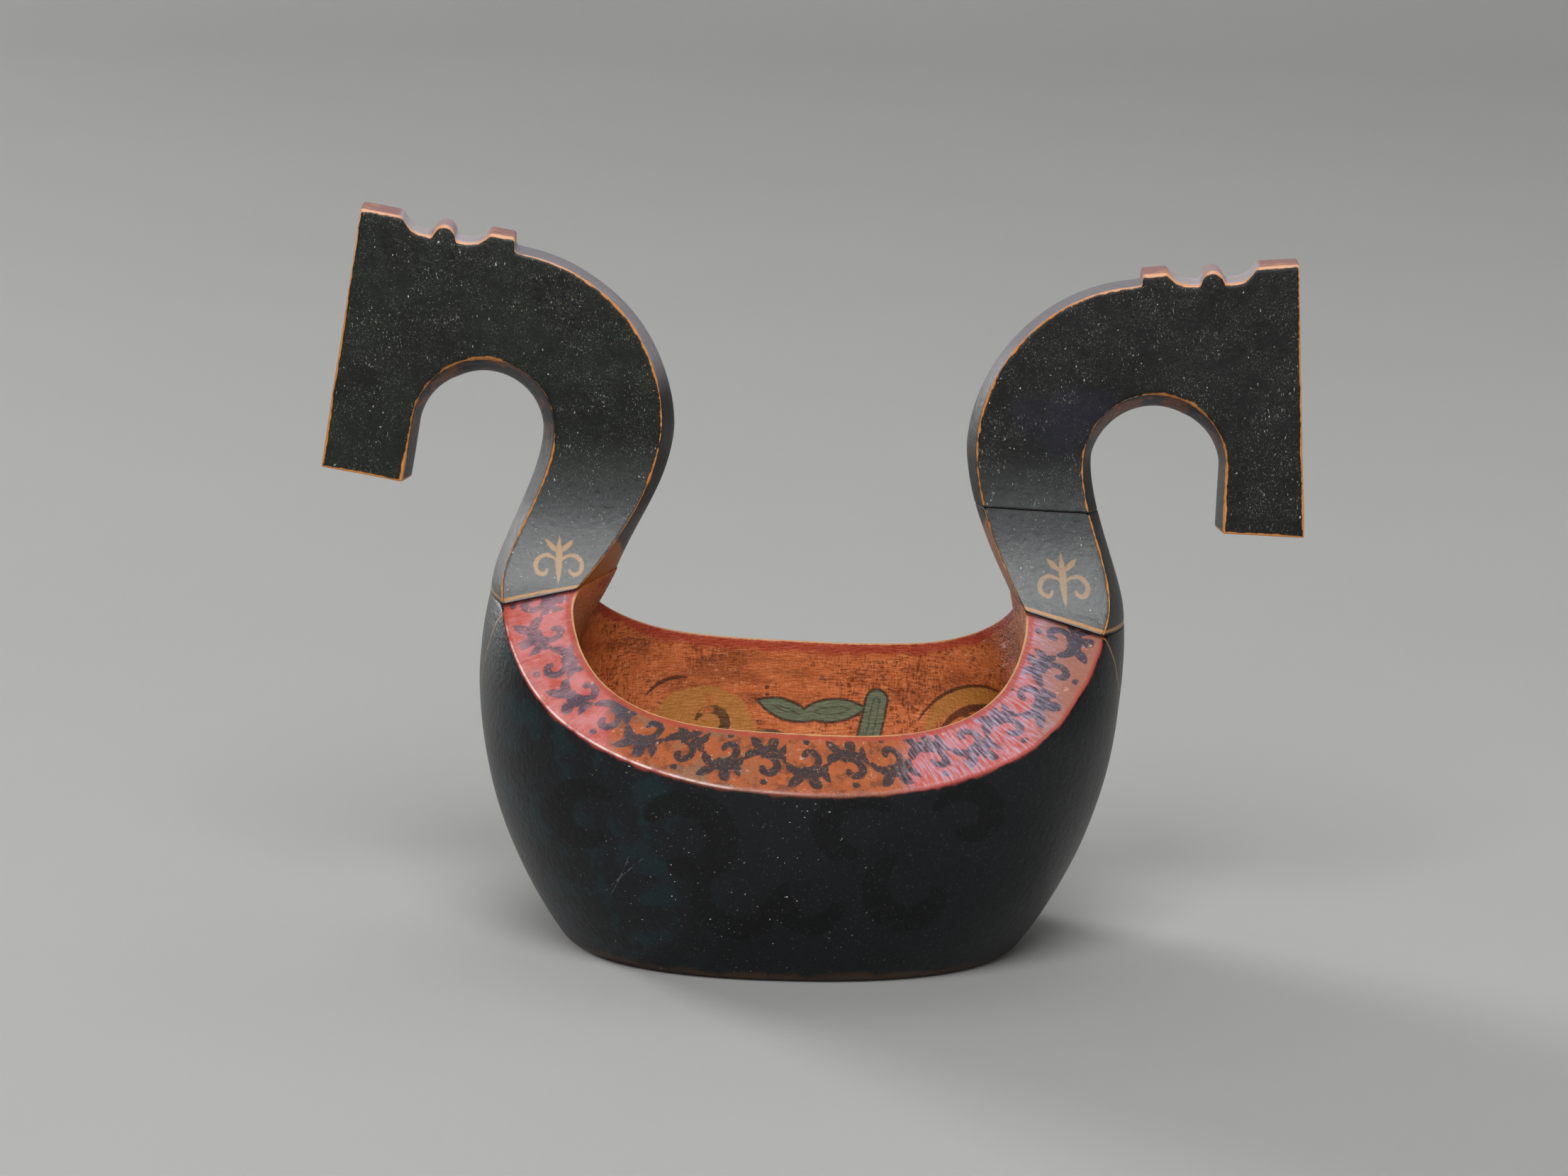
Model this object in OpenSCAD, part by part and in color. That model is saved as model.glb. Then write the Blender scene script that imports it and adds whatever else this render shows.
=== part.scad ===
// Carved and painted ale bowl with two horse-head handles.
// X runs from head to head, -Y is the front, Z is up, and the origin is the middle of the foot.

/* [Bowl] */
// Length of the bowl from end to end, at its widest
bowl_length = 235; // [200:1:270]
// Width of the bowl from front to back, at its widest
bowl_width = 174; // [155:1:195]
// Height of the widest part above the foot
belly_height = 102; // [90:1:115]
// Radius of the swell of the two ends, seen from the front
end_swell = 170; // [150:1:260]
// Radius of the swell of the front and back, seen from the end
side_swell = 245; // [200:1:500]
// Squareness of the oval plan of the belly (2 is an ellipse)
belly_squareness = 2.3; // [2:0.05:2.8]
// Squareness of the oval plan at the left seam, where the end is keeled
left_end_squareness = 2.1; // [1.7:0.05:2.3]
// Squareness of the oval plan at the right seam
right_end_squareness = 1.8; // [1.7:0.05:2.3]
// How far the left end falls back at its seam, and the right end stands out
end_shift = 1.8; // [0:0.1:3]
// How far the carved body leans to the right over its foot, in degrees
body_lean = 1.8; // [0:0.1:3]

/* [Hollow] */
// Length of the opening from end to end
hollow_length = 167; // [150:1:175]
// Width of the opening from front to back
hollow_width = 127; // [114:1:140]
// How far the hollow lies off the middle, towards the front
hollow_shift = 1.5; // [0:0.5:4]
// How far the hollow lies off the middle, towards the left
hollow_offset = 1.5; // [0:0.5:4]
// Height at which the walls of the hollow start to curve in
hollow_shoulder = 95; // [80:1:105]
// Thickness of the floor of the bowl
floor_thickness = 14; // [8:0.5:25]
// Share of the opening that is flat floor
floor_share = 0.45; // [0.3:0.05:0.7]
// Squareness of the oval plan of the hollow
hollow_squareness = 3.3; // [2.4:0.1:4]
// How far the ridge on the left end wall stands into the hollow, at the seam
left_ridge = 17; // [0:0.5:20]
// How far the ridge on the right end wall stands into the hollow, at the seam
right_ridge = 7; // [0:0.5:20]
// Half width of these ridges
ridge_reach = 24; // [20:1:40]

/* [Saddle] */
// Thickness of the necks from front to back, where they start to flare
neck_depth = 26; // [20:1:34]
// Thickness of the heads from front to back, at the top of the left forehead
head_depth = 15; // [12:1:24]
// Height at which the necks start to flare out to the rim
flare_height = 168; // [155:1:180]
// Radius of the flare
flare_radius = 60; // [45:1:75]
// Slope of the rim band, in degrees
rim_slope = 40.5; // [35:0.5:50]
// Step from the face of a handle down to the rim band
rim_step = 1.8; // [1:0.1:4]

/* [Seams] */
// Height of the seams between bowl and handles, at the middle of the wall
seam_height = 128; // [120:0.5:134]
// How far the seams slope down outwards, in degrees
seam_tilt = 12.5; // [5:0.1:20]
// Height of the break across the right neck, at its middle
break_height = 166; // [155:1:180]
// How far the break slopes down towards the back, in degrees
break_tilt = 5; // [0:0.5:10]

/* [Handles] */
// How far the centre of the crest curve lies outside the middle of the wall
crest_reach = 19; // [10:0.5:26]
// Height of the centre of the crest curve
crest_height = 189.5; // [180:0.5:205]
// Radius of the crest, the upper edge of neck and head
crest_radius = 61.5; // [54:0.5:66]
// How far the centre of the throat arch lies outside the middle of the wall
arch_reach = 22; // [14:0.5:28]
// Height of the centre of the throat arch
arch_height = 186; // [180:0.5:195]
// Radius of the throat arch
arch_radius = 26; // [20:0.5:30]
// How far the top corner of the forehead lies outside the middle of the wall
forehead_reach = 69.5; // [60:0.5:76]
// Height of the top corner of the left forehead
left_forehead_height = 264; // [255:0.5:275]
// Height of the top corner of the right forehead
right_forehead_height = 261.5; // [255:0.5:275]
// Length of the left forehead
left_forehead_length = 95; // [85:0.5:105]
// Length of the right forehead
right_forehead_length = 99.5; // [85:0.5:105]
// How far the foreheads lean back, in degrees
forehead_lean = 5.6; // [2:0.1:10]
// Width of the muzzle
muzzle_width = 29.5; // [22:0.5:34]
// Slope of the keel along crest and throat of the left handle: what it stands out per depth
left_keel = 0.4; // [0:0.01:0.5]
// Slope of the keel along crest and throat of the right handle
right_keel = 0.3; // [0:0.01:0.5]
// Slope of the keel at the top of the arch
arch_keel = 0.65; // [0:0.05:0.8]
// Share of the keel that is left on the inner side of the muzzle
muzzle_keel = 0.6; // [0:0.05:1]
// How far the left head sits closer to the middle, and the right head further out
head_shift = 2.3; // [0:0.1:5]
// How far the left head is turned up, and the right head down, in degrees
head_turn = 0.7; // [0:0.1:3]
// How far the cut ends of the muzzles slope down towards the necks, in degrees
muzzle_slope = 4; // [0:0.2:8]
// How much more the cut end of the left muzzle slopes, and that of the right muzzle less
muzzle_turn = 4; // [0:0.2:6]

/* [Head ornament] */
// Slope of the notched line on top of the head, in degrees
top_slope = 7.3; // [4:0.1:12]
// Width of the forelock block
forelock_width = 15; // [10:0.5:20]
// Width of each scallop beside the knob
scallop_width = 12; // [8:0.5:14]
// Depth of the scallops
scallop_depth = 5; // [2:0.5:8]
// Width of the knob between the scallops
knob_width = 8.4; // [5:0.2:12]
// Width of the ear block
ear_width = 9; // [5:0.5:12]

/* [Dowels] */
// Diameter of the dowels
dowel_dia = 8; // [5:0.5:10]
// Length of the dowels
dowel_length = 30; // [20:1:36]
// Distance between the two dowels of a seam
dowel_spacing = 18; // [14:1:24]
// How far the dowels of a seam sit inside the middle of the wall
dowel_inset = 5; // [2:0.5:8]
// Glue clearance around a dowel, and at its upper end
glue_gap = 0.1; // [0.05:0.05:0.3]

/* [Hidden] */

// Facets of the ovals and curves
body_sides = 60;
body_rows = 12;
hollow_rows = 8;
curve_steps = 10;
arc_steps = 14;
notch_steps = 6;
// Overlap of shapes that are cut off again, and the reach of a cut through everything
spare = 8;
beyond = 220;

// Where the flare runs out into the straight rim band, seen from the end
flare_centre = [neck_depth / 2 + flare_radius, flare_height];
flare_end = flare_centre - flare_radius * [sin(rim_slope), cos(rim_slope)];
// Middle of the end wall at the seam, its lower outer end and its upper inner end
wall_mid = (half_length(seam_height, 0) + hollow_length / 2) / 2;
seam_low = seam_z(bowl_length / 2);
seam_high = seam_z(hollow_length / 2);
// Depth through which a handle is lofted, and the height it starts from
loft_depth = max(flare_end.x, rim_depth(seam_low)) + spare;
loft_foot = seam_low - spare;
// Middle of the neck at the break
neck_mid = wall_mid + head_shift + (crest_reach - crest_radius + arch_reach - arch_radius) / 2;

function mix(a, b, t) = a + (b - a) * t;
function clamp01(t) = max(0, min(1, t));
function rim_depth(z) = flare_end.x + (flare_end.y - z) / tan(rim_slope);
function seam_z(x) = seam_height - (x - wall_mid) * tan(seam_tilt);

// Points along a curve with two pulls, without its first point
function curve(a, pull_a, pull_b, b, steps = curve_steps) =
    [for (i = [1:steps]) let (t = i / steps, s = 1 - t)
        s * s * s * a + 3 * s * s * t * pull_a + 3 * s * t * t * pull_b + t * t * t * b];

// Half length, half width and squareness of the plan of the body at a height, left (1) or right (-1)
function swell(half, radius, z) = half - radius + sqrt(radius ^ 2 - (z - belly_height) ^ 2);
function keeling(z) = clamp01((z - belly_height + spare) / (seam_height - belly_height + spare));
function half_length(z, side) = swell(bowl_length / 2, end_swell, z) - side * end_shift * keeling(z);
function half_width(z) = swell(bowl_width / 2, side_swell, z);
function squareness(z, side) =
    mix(belly_squareness, side > 0 ? left_end_squareness : right_end_squareness, keeling(z));

// Point on an oval of the given half sizes and squareness
function oval_point(a, b, n, t, z) =
    let (r = (abs(cos(t) / a) ^ n + abs(sin(t) / b) ^ n) ^ (-1 / n))
    [r * cos(t), r * sin(t), z];

// How far out an oval reaches at a depth from the middle plane
function oval_end(a, b, n, y) = a * (1 - (abs(y) / b) ^ n) ^ (1 / n);
function body_end(y, z, side) = oval_end(half_length(z, side), half_width(z), squareness(z, side), y);
function hollow_end(y, z, side) =
    oval_end(hollow_length / 2, hollow_width / 2, hollow_squareness, y + hollow_shift)
    + side * hollow_offset - wall_ridge(y, z, side);

// How far the end walls of the hollow are ridged at a depth and a height, left (1) or right (-1)
function wall_ridge(y, z, side) =
    (side > 0 ? left_ridge : right_ridge) * max(0, 1 - abs(y) / ridge_reach)
    * max(0, (z - hollow_shoulder) / (seam_high - hollow_shoulder)) ^ 1.5;

// Half thickness of neck and head at a height above the flare
function face_depth(z) =
    mix(neck_depth, head_depth, clamp01((z - flare_height) / (left_forehead_height - flare_height))) / 2;

// Solid through rings with the same number of points
module loft(rings) {
    n = len(rings[0]);
    last = len(rings) - 1;
    sides = [for (j = [0:last - 1], i = [0:n - 1]) let (a = j * n + i, b = j * n + (i + 1) % n)
        each [[a, a + n, b + n], [a, b + n, b]]];
    caps = [[for (i = [0:n - 1]) i], [for (i = [n - 1:-1:0]) last * n + i]];
    polyhedron([for (ring = rings) each ring], concat(sides, caps));
}

// The axis of the body leans a little over its foot
module leaning() {
    rotate([0, body_lean, 0]) children();
}

// Half space above a tilted plane through a point
module above(point, tilt) {
    translate(point) rotate(tilt) translate([-beyond, -beyond, 0]) cube(2 * beyond);
}

// Necks, flare and rim band seen from the end, through the whole length
module saddle() {
    low = bowl_width / 2 + spare;
    half = [[head_depth / 2, beyond + flare_height], [head_depth / 2, left_forehead_height],
            [neck_depth / 2, flare_height], flare_centre, flare_end,
            [low, flare_end.y - (low - flare_end.x) * tan(rim_slope)], [low, -beyond]];
    rotate([90, 0, 90]) linear_extrude(2 * beyond, center = true) difference() {
        polygon(concat(half, [for (i = [len(half) - 1:-1:0]) [-half[i].x, half[i].y]]));
        for (side = [-1, 1])
            translate([side * flare_centre.x, flare_centre.y]) circle(flare_radius, $fn = 96);
    }
}

// Everything above the seam on the right
module above_seam() {
    above([wall_mid, 0, seam_height], [0, seam_tilt, 0]);
}

// Everything above the break across the right neck, and the muzzle that hangs beside it.
// The muzzle's share starts halfway between the seam and its lower end, clear of the foot of the neck
module beyond_break() {
    muzzle_low = right_forehead_height - right_forehead_length;
    above([neck_mid, 0, break_height], [-break_tilt, 0, 0]);
    translate([wall_mid + arch_reach, -beyond, mix(seam_high, muzzle_low, 0.5)]) cube(2 * beyond);
}

// Notched line on top of the head, from the forelock block over the knob to the ear block
function head_top(corner, slope) =
    let (along = [-cos(slope), -sin(slope)], down = [sin(slope), -cos(slope)])
    let (forelock = corner + forelock_width * along, half_knob = knob_width / 2 * along)
    let (knob = forelock + scallop_width * along + half_knob + scallop_depth * down)
    let (ear = knob + half_knob + scallop_width * along - scallop_depth * down)
    let (flat = scallop_width / 2 * along, steep = scallop_depth * down)
    concat(
        [corner, forelock],
        curve(forelock, forelock + flat / 2 + steep, knob - half_knob - flat, knob - half_knob, notch_steps),
        [for (i = [1:notch_steps]) let (t = 180 * i / notch_steps)
            knob - half_knob * cos(t) - steep * sin(t)],
        curve(knob + half_knob, knob + half_knob + flat, ear - flat / 2 + steep, ear, notch_steps),
        [ear + ear_width * along]);

// What the keel stands out at a depth from the middle plane and a height
function keel(slope, y, z) = slope * (face_depth(z) - abs(y));

// Outline of a handle at a depth from the middle plane, from its outer side to its inner side.
// The side is 1 for the left handle and -1 for the right
function handle_outline(y, side, slope, forehead_height, forehead_length) =
    let (shift = -side * head_shift, pull = [0, crest_radius / 3])
    let (arch = [wall_mid + arch_reach + shift, arch_height])
    let (crest = [wall_mid + crest_reach + shift, crest_height])
    let (throat = arch - [arch_radius - keel(slope, y, arch.y), 0])
    let (nape = crest - [crest_radius + keel(slope, y, crest.y), 0])
    let (outer = [body_end(y, seam_low, side), seam_low])
    let (inner = [hollow_end(y, seam_high, side), seam_high], ridge = wall_ridge(y, seam_high, side))
    let (corner = [wall_mid + forehead_reach + shift, forehead_height])
    let (lean = forehead_lean + side * head_turn, cut = muzzle_slope + side * muzzle_turn)
    let (muzzle = corner + forehead_length * [sin(lean), -cos(lean)])
    let (lip = muzzle - (muzzle_width + muzzle_keel * keel(slope, y, muzzle.y)) * [cos(cut), sin(cut)])
    let (top = head_top(corner, top_slope + side * head_turn), ear_end = top[len(top) - 1])
    let (crest_start = acos((ear_end.x - crest.x) / crest_radius))
    concat(
        [[body_end(y, loft_foot, side), loft_foot], outer],
        curve(outer, outer + 0.8 * pull, throat - pull, throat),
        [for (i = [1:arc_steps]) let (t = 180 - 180 * i / arc_steps)
            let (share = mix(muzzle_keel, 1, min(1, t / 60)), sunk = mix(slope, arch_keel, sin(t)) * share)
            arch + (arch_radius - keel(sunk, y, arch.y + arch_radius * sin(t))) * [cos(t), sin(t)]],
        [lip, muzzle],
        top,
        [for (i = [0:arc_steps]) let (t = mix(crest_start, 180, i / arc_steps))
            let (raised = keel(slope * i / arc_steps, y, crest.y + crest_radius * sin(t)))
            crest + (crest_radius + raised) * [cos(t), sin(t)]],
        curve(nape, nape - pull, inner + 0.8 * pull - [pull.y / 2 - ridge / 3, 0], inner),
        [[hollow_end(y, loft_foot, side), loft_foot]]);

// Right neck and head in one, keeled on its sides and flared on both faces
module handle_form(side, slope, forehead_height, forehead_length) {
    depths = [loft_depth, mix(neck_depth / 2, loft_depth, 0.4), neck_depth / 2];
    layers = concat(depths, [0], [for (i = [2:-1:0]) -depths[i]]);
    intersection() {
        loft([for (y = layers)
            [for (p = handle_outline(y, side, slope, forehead_height, forehead_length)) [p.x, y, p.y]]]);
        saddle();
        above_seam();
    }
}

// Right neck and head before the break
module right_form() {
    handle_form(-1, right_keel, right_forehead_height, right_forehead_length);
}

// One dowel, half on each side of the joint at its middle
module dowel(gap) {
    translate([0, 0, -dowel_length / 2])
        cylinder(d = dowel_dia + 2 * gap, h = dowel_length + gap, $fn = 48);
}

// The two dowels of the seam on the right, or their holes
module seam_dowels(gap) {
    reach = wall_mid - dowel_inset;
    for (side = [-1, 1])
        translate([reach, side * dowel_spacing / 2, seam_z(reach)]) rotate([0, seam_tilt, 0]) dowel(gap);
}

// The dowel across the break in the right neck, or its hole
module break_dowel(gap) {
    translate([neck_mid, 0, break_height]) rotate([-break_tilt, 0, 0]) dowel(gap);
}

// The hollow: upright at the rim, rounding in to a flat oval floor
module hollow() {
    depth = hollow_shoulder - floor_thickness;
    rows = concat(
        [for (i = [hollow_rows:-1:0]) let (t = 90 * i / hollow_rows)
            [mix(floor_share, 1, cos(t)), hollow_shoulder - depth * sin(t)]],
        [for (i = [1:3]) [1, mix(hollow_shoulder, seam_high + spare, i / 3)]]);
    translate([-hollow_offset, -hollow_shift, 0]) loft([for (row = rows)
        [for (i = [0:body_sides - 1])
            let (half = row.x * [hollow_length, hollow_width] / 2, t = 360 * i / body_sides)
            let (p = oval_point(half.x, half.y, hollow_squareness, t, row.y))
            p - [sign(p.x) * wall_ridge(p.y - hollow_shift, p.z, -sign(p.x)), 0, 0]]]);
}

// The body before hollowing, from below the foot to above the seams
module body() {
    loft([for (i = [0:body_rows]) let (z = mix(-spare, seam_high + spare, i / body_rows))
        [for (k = [0:body_sides - 1]) let (t = 360 * k / body_sides, side = -sign(cos(t)))
            oval_point(half_length(z, side), half_width(z), squareness(z, side), t, z)]]);
}

// Hollowed body with its sloping rim band, flat foot and dowel holes
module bowl() {
    color("#17191f") difference() {
        leaning() difference() {
            intersection() {
                body();
                translate([0, 0, -rim_step / cos(rim_slope)]) saddle();
            }
            hollow();
            for (side = [0, 1]) mirror([side, 0, 0]) {
                above_seam();
                seam_dowels(glue_gap);
            }
        }
        translate([-beyond, -beyond, -2 * beyond]) cube(2 * beyond);
    }
}

// Left neck and head
module left_handle() {
    color("#1d211e") leaning() mirror([1, 0, 0]) difference() {
        handle_form(1, left_keel, left_forehead_height, left_forehead_length);
        seam_dowels(glue_gap);
    }
}

// Right neck below the break
module right_handle() {
    color("#24282a") leaning() difference() {
        right_form();
        beyond_break();
        seam_dowels(glue_gap);
        break_dowel(glue_gap);
    }
}

// Upper right neck and head, glued back on above the break
module right_head() {
    color("#1d211e") leaning() difference() {
        intersection() {
            right_form();
            beyond_break();
        }
        break_dowel(glue_gap);
    }
}

// Blind dowels of the left seam
module left_handle_dowels() {
    color("#b98a52") leaning() mirror([1, 0, 0]) seam_dowels(0);
}

// Blind dowels of the right seam
module right_handle_dowels() {
    color("#b98a52") leaning() seam_dowels(0);
}

// Blind dowel across the break
module right_head_dowel() {
    color("#b98a52") leaning() break_dowel(0);
}

bowl();
left_handle();
right_handle();
right_head();
left_handle_dowels();
right_handle_dowels();
right_head_dowel();
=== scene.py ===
import math

import bmesh
import bpy
from mathutils import Matrix, Vector, noise


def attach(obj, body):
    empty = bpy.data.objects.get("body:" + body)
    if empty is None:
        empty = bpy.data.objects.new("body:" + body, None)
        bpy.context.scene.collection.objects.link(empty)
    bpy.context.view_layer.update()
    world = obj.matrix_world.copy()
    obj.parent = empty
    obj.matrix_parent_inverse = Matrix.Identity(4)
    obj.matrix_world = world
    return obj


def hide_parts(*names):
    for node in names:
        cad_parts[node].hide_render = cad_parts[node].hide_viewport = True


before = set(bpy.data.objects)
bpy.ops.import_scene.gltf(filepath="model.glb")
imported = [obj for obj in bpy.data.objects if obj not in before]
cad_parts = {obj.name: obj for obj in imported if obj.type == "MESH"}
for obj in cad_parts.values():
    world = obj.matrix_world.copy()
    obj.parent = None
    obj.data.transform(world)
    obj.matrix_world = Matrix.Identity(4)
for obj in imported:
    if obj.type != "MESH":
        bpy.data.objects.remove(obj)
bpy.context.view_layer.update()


# The bowl, in millimetres: a block of wood hollowed with gouges, with a flat foot and a sloping rim band.
# It is modelled as a carver works it, ring by ring: up the outside, over the rim and down the hollow.
# It is painted black outside and red inside, with scrolls, leaves and a running vine, and varnished.
lean = math.radians(1.8)
leaning = Matrix.Rotation(lean, 4, "Y")
bowl_half = (117.5, 87.0)
side_swell = (170.0, 245.0)
belly_height = 102.0
keel_drop = 8.0
seam_height = 128.0
end_shift = 1.8
belly_squareness = 2.3
left_squareness = 2.1
right_squareness = 1.8


def between(first, second, share):
    return first + (second - first) * share


def clamped(share):
    return max(0.0, min(1.0, share))


def body_half(axis, z):
    """Half the length (axis 0) or half the breadth (axis 1) of the body at a height."""
    swell = side_swell[axis]
    return bowl_half[axis] - swell + math.sqrt(swell ** 2 - (z - belly_height) ** 2)


def end_plan(z, left):
    """Half length and squareness of one end of the body at a height. The keel starts just below the belly."""
    keeling = clamped((z - belly_height + keel_drop) / (seam_height - belly_height + keel_drop))
    squareness = between(belly_squareness, left_squareness if left else right_squareness, keeling)
    return body_half(0, z) + keeling * (-end_shift if left else end_shift), squareness


def oval_point(half_x, half_y, squareness, turn):
    x, y = math.cos(turn), math.sin(turn)
    reach = (abs(x / half_x) ** squareness + abs(y / half_y) ** squareness) ** (-1 / squareness)
    return reach * x, reach * y


def outside_point(turn, z):
    half_x, squareness = end_plan(z, math.cos(turn) < 0)
    return Vector((*oval_point(half_x, body_half(1, z), squareness, turn), z))


hollow_half = (83.5, 63.5)
hollow_offset = 1.5
hollow_shift = 1.5
hollow_shoulder = 95.0
hollow_floor = 14.0
hollow_squareness = 3.3
floor_share = 0.45
seam_slope = math.tan(math.radians(12.5))
wall_mid = (body_half(0, seam_height) + hollow_half[0]) / 2


def seam_z(x):
    return seam_height - (abs(x) - wall_mid) * seam_slope


seam_high = seam_z(hollow_half[0])
left_ridge = 17.0
right_ridge = 7.0
ridge_reach = 24.0
ridge_softness = 3.0
ridge_curve = 1.5


def softened(gap, softness):
    """A distance from a ridge, flattened near it so that the ridge is round."""
    return math.hypot(gap, softness) - softness


def wall_ridge(y, z, left):
    """How far the ridge on an end wall stands into the hollow."""
    width = max(0.0, 1 - softened(y, ridge_softness) / ridge_reach)
    rise = clamped((z - hollow_shoulder) / (seam_high - hollow_shoulder))
    return (left_ridge if left else right_ridge) * width * rise ** ridge_curve


def hollow_point(turn, z):
    """A point of the hollow's wall, which curves in to the floor below its shoulder."""
    depth = clamped((hollow_shoulder - z) / (hollow_shoulder - hollow_floor))
    share = between(floor_share, 1.0, math.sqrt(1 - depth * depth))
    x, y = oval_point(hollow_half[0] * share, hollow_half[1] * share, hollow_squareness, turn)
    y -= hollow_shift
    x -= math.copysign(wall_ridge(y, z, x < 0), x)
    return Vector((x - hollow_offset, y, z))


neck_half = 13.0
flare_height = 168.0
flare_radius = 60.0
flare_mid = neck_half + flare_radius
rim_slope = math.radians(40.5)
rim_sink = 1.8 / math.cos(rim_slope)
flare_end_y = flare_mid - flare_radius * math.sin(rim_slope)
flare_end_z = flare_height - flare_radius * math.cos(rim_slope)


def saddle_z(y):
    """Height of the saddle that trims the rim. It flares up to the necks and trims nothing under them."""
    y = abs(y)
    if y >= flare_end_y:
        return flare_end_z - (y - flare_end_y) * math.tan(rim_slope)
    if y <= neck_half:
        return math.inf
    return flare_height - math.sqrt(flare_radius ** 2 - (flare_mid - y) ** 2)


def rim_z(point):
    return min(saddle_z(point.y) - rim_sink, seam_z(point.x))


def height_at_rim(surface, turn):
    """Height at which a surface meets the rim, found by halving."""
    low, high = 20.0, 140.0
    for _ in range(40):
        z = (low + high) / 2
        low, high = (z, high) if z < rim_z(surface(turn, z)) else (low, z)
    return low


def rounded(before, corner, after, steps):
    """Points of a worn corner, from the last one before it to the first one after it."""
    shares = [i / steps for i in range(steps + 1)]
    return [before.lerp(corner, share).lerp(corner.lerp(after, share), share) for share in shares]


def on_rim(lip, inner, share):
    """A point of the rim band between its two edges. Under the necks the band is straight across."""
    point = lip.lerp(inner, share)
    point.z = between(lip.z, inner.z, share) if abs(point.y) < neck_half else rim_z(point)
    return point


crisp_edge = 0.3
worn_lip = 1.6
worn_inner = 1.4
seat_half = 18.0
seat_fade = 10.0


def edge_round(edge, worn):
    """How far an edge of the rim is worn round. At the seats of the handles it is still crisp."""
    return between(crisp_edge, worn, clamped((abs(edge.y) - seat_half) / seat_fade))


foot_inset = 2.5
foot_rise = 3.0
foot_steps = 3
side_steps = 24
edge_steps = 4
band_steps = 9
wall_steps = 20
foot_shares = (0.04, 0.3, 0.6, 0.85)
floor_shares = (0.8, 0.5, 0.25, 0.04)


def bowl_meridian(turn):
    """Points from the middle of the foot over the rim to the middle of the floor, and the rim edges' rows."""
    foot_z = 0.0
    for _ in range(5):
        foot_z = outside_point(turn, foot_z).x * math.tan(lean)
    foot = outside_point(turn, foot_z)
    lip_z = height_at_rim(outside_point, turn)
    lip = outside_point(turn, lip_z)
    lip_round = edge_round(lip, worn_lip)
    inner_z = height_at_rim(hollow_point, turn)
    inner = hollow_point(turn, inner_z)
    inner_round = edge_round(inner, worn_inner)
    band = (inner - lip).length
    side_low = foot_z + foot_rise
    side_high = lip_z - lip_round
    wall_high = inner_z - inner_round

    under = [Vector((foot.x * share, foot.y * share, foot_z * share)) for share in foot_shares]
    foot_edge = foot * (1 - foot_inset / foot.length)
    foot_round = rounded(foot_edge, foot, outside_point(turn, side_low), foot_steps)
    side = [outside_point(turn, between(side_low, side_high, i / side_steps)) for i in range(1, side_steps)]
    over = rounded(outside_point(turn, side_high), lip, on_rim(lip, inner, lip_round / band), edge_steps)
    slope = [on_rim(lip, inner, between(lip_round, band - inner_round, i / band_steps) / band)
             for i in range(1, band_steps)]
    band_end = on_rim(lip, inner, 1 - inner_round / band)
    into = rounded(band_end, inner, hollow_point(turn, wall_high), edge_steps)
    falls = [math.sin(math.pi / 2 * i / wall_steps) for i in range(1, wall_steps + 1)]
    wall = [hollow_point(turn, between(wall_high, hollow_floor, fall)) for fall in falls]
    middle = Vector((-hollow_offset, -hollow_shift, hollow_floor))
    floor = [middle.lerp(wall[-1], share) for share in floor_shares]
    points = under + foot_round + side + over + slope + into + wall + floor
    outer_row = len(under + foot_round + side) + edge_steps // 2
    inner_row = len(under + foot_round + side + over + slope) + edge_steps // 2
    return points, outer_row, inner_row


noise.seed_set(11)
true_foot = 8.0
true_seam = 10.0


def carved(point, size, amount, seed):
    """The small unevenness that a knife leaves, in millimetres. The foot and the seams stay true."""
    place = point / size + Vector((seed, 2.7 * seed, -seed))
    freedom = clamped(min(point.z / true_foot, abs(point.z - seam_z(point.x)) / true_seam))
    return point + amount * freedom * noise.noise_vector(place)


millimetre = 0.001


def shaped_rings(name, rings):
    """A circle is added, set to the first ring, and extruded and placed ring by ring."""
    bpy.ops.object.select_all(action="DESELECT")
    bpy.ops.mesh.primitive_circle_add(vertices=len(rings[0]), radius=0.1)
    piece = bpy.context.object
    piece.name = piece.data.name = name
    bpy.ops.object.mode_set(mode="EDIT")
    bpy.ops.mesh.select_all(action="SELECT")
    for row, ring in enumerate(rings):
        if row:
            bpy.ops.mesh.extrude_region_move()
        mesh = bmesh.from_edit_mesh(piece.data)
        mesh.verts.ensure_lookup_table()
        newest = mesh.verts[-len(ring):]
        if row:
            order = {tuple(vertex.co): vertex for vertex in newest}
            newest = [order[key] for key in placed]
        for vertex, point in zip(newest, ring):
            vertex.co = point * millimetre
        placed = [tuple(vertex.co) for vertex in newest]
        bmesh.update_edit_mesh(piece.data, loop_triangles=False, destructive=False)
    bpy.ops.object.mode_set(mode="OBJECT")
    return piece


def store(piece, name, values):
    """Keeps a value at each point of a piece, for its paint to read."""
    piece.data.attributes.new(name, "FLOAT", "POINT").data.foreach_set("value", values)


def finished(piece):
    """One subdivision rounds the worn edges, and then the two small end holes are closed."""
    smooth = piece.modifiers.new("rounding", "SUBSURF")
    smooth.levels = smooth.render_levels = 1
    bpy.ops.object.modifier_apply(modifier=smooth.name)
    bpy.ops.object.mode_set(mode="EDIT")
    bpy.ops.mesh.select_all(action="SELECT")
    bpy.ops.mesh.fill_holes(sides=0)
    bpy.ops.mesh.select_all(action="SELECT")
    bpy.ops.mesh.normals_make_consistent(inside=False)
    bpy.ops.object.mode_set(mode="OBJECT")
    bpy.ops.object.shade_smooth()


def gone_along(points):
    """How far each point lies along the line through all of them."""
    gone = [0.0]
    for before, after in zip(points, points[1:]):
        gone.append(gone[-1] + (before - after).length)
    return gone


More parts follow.
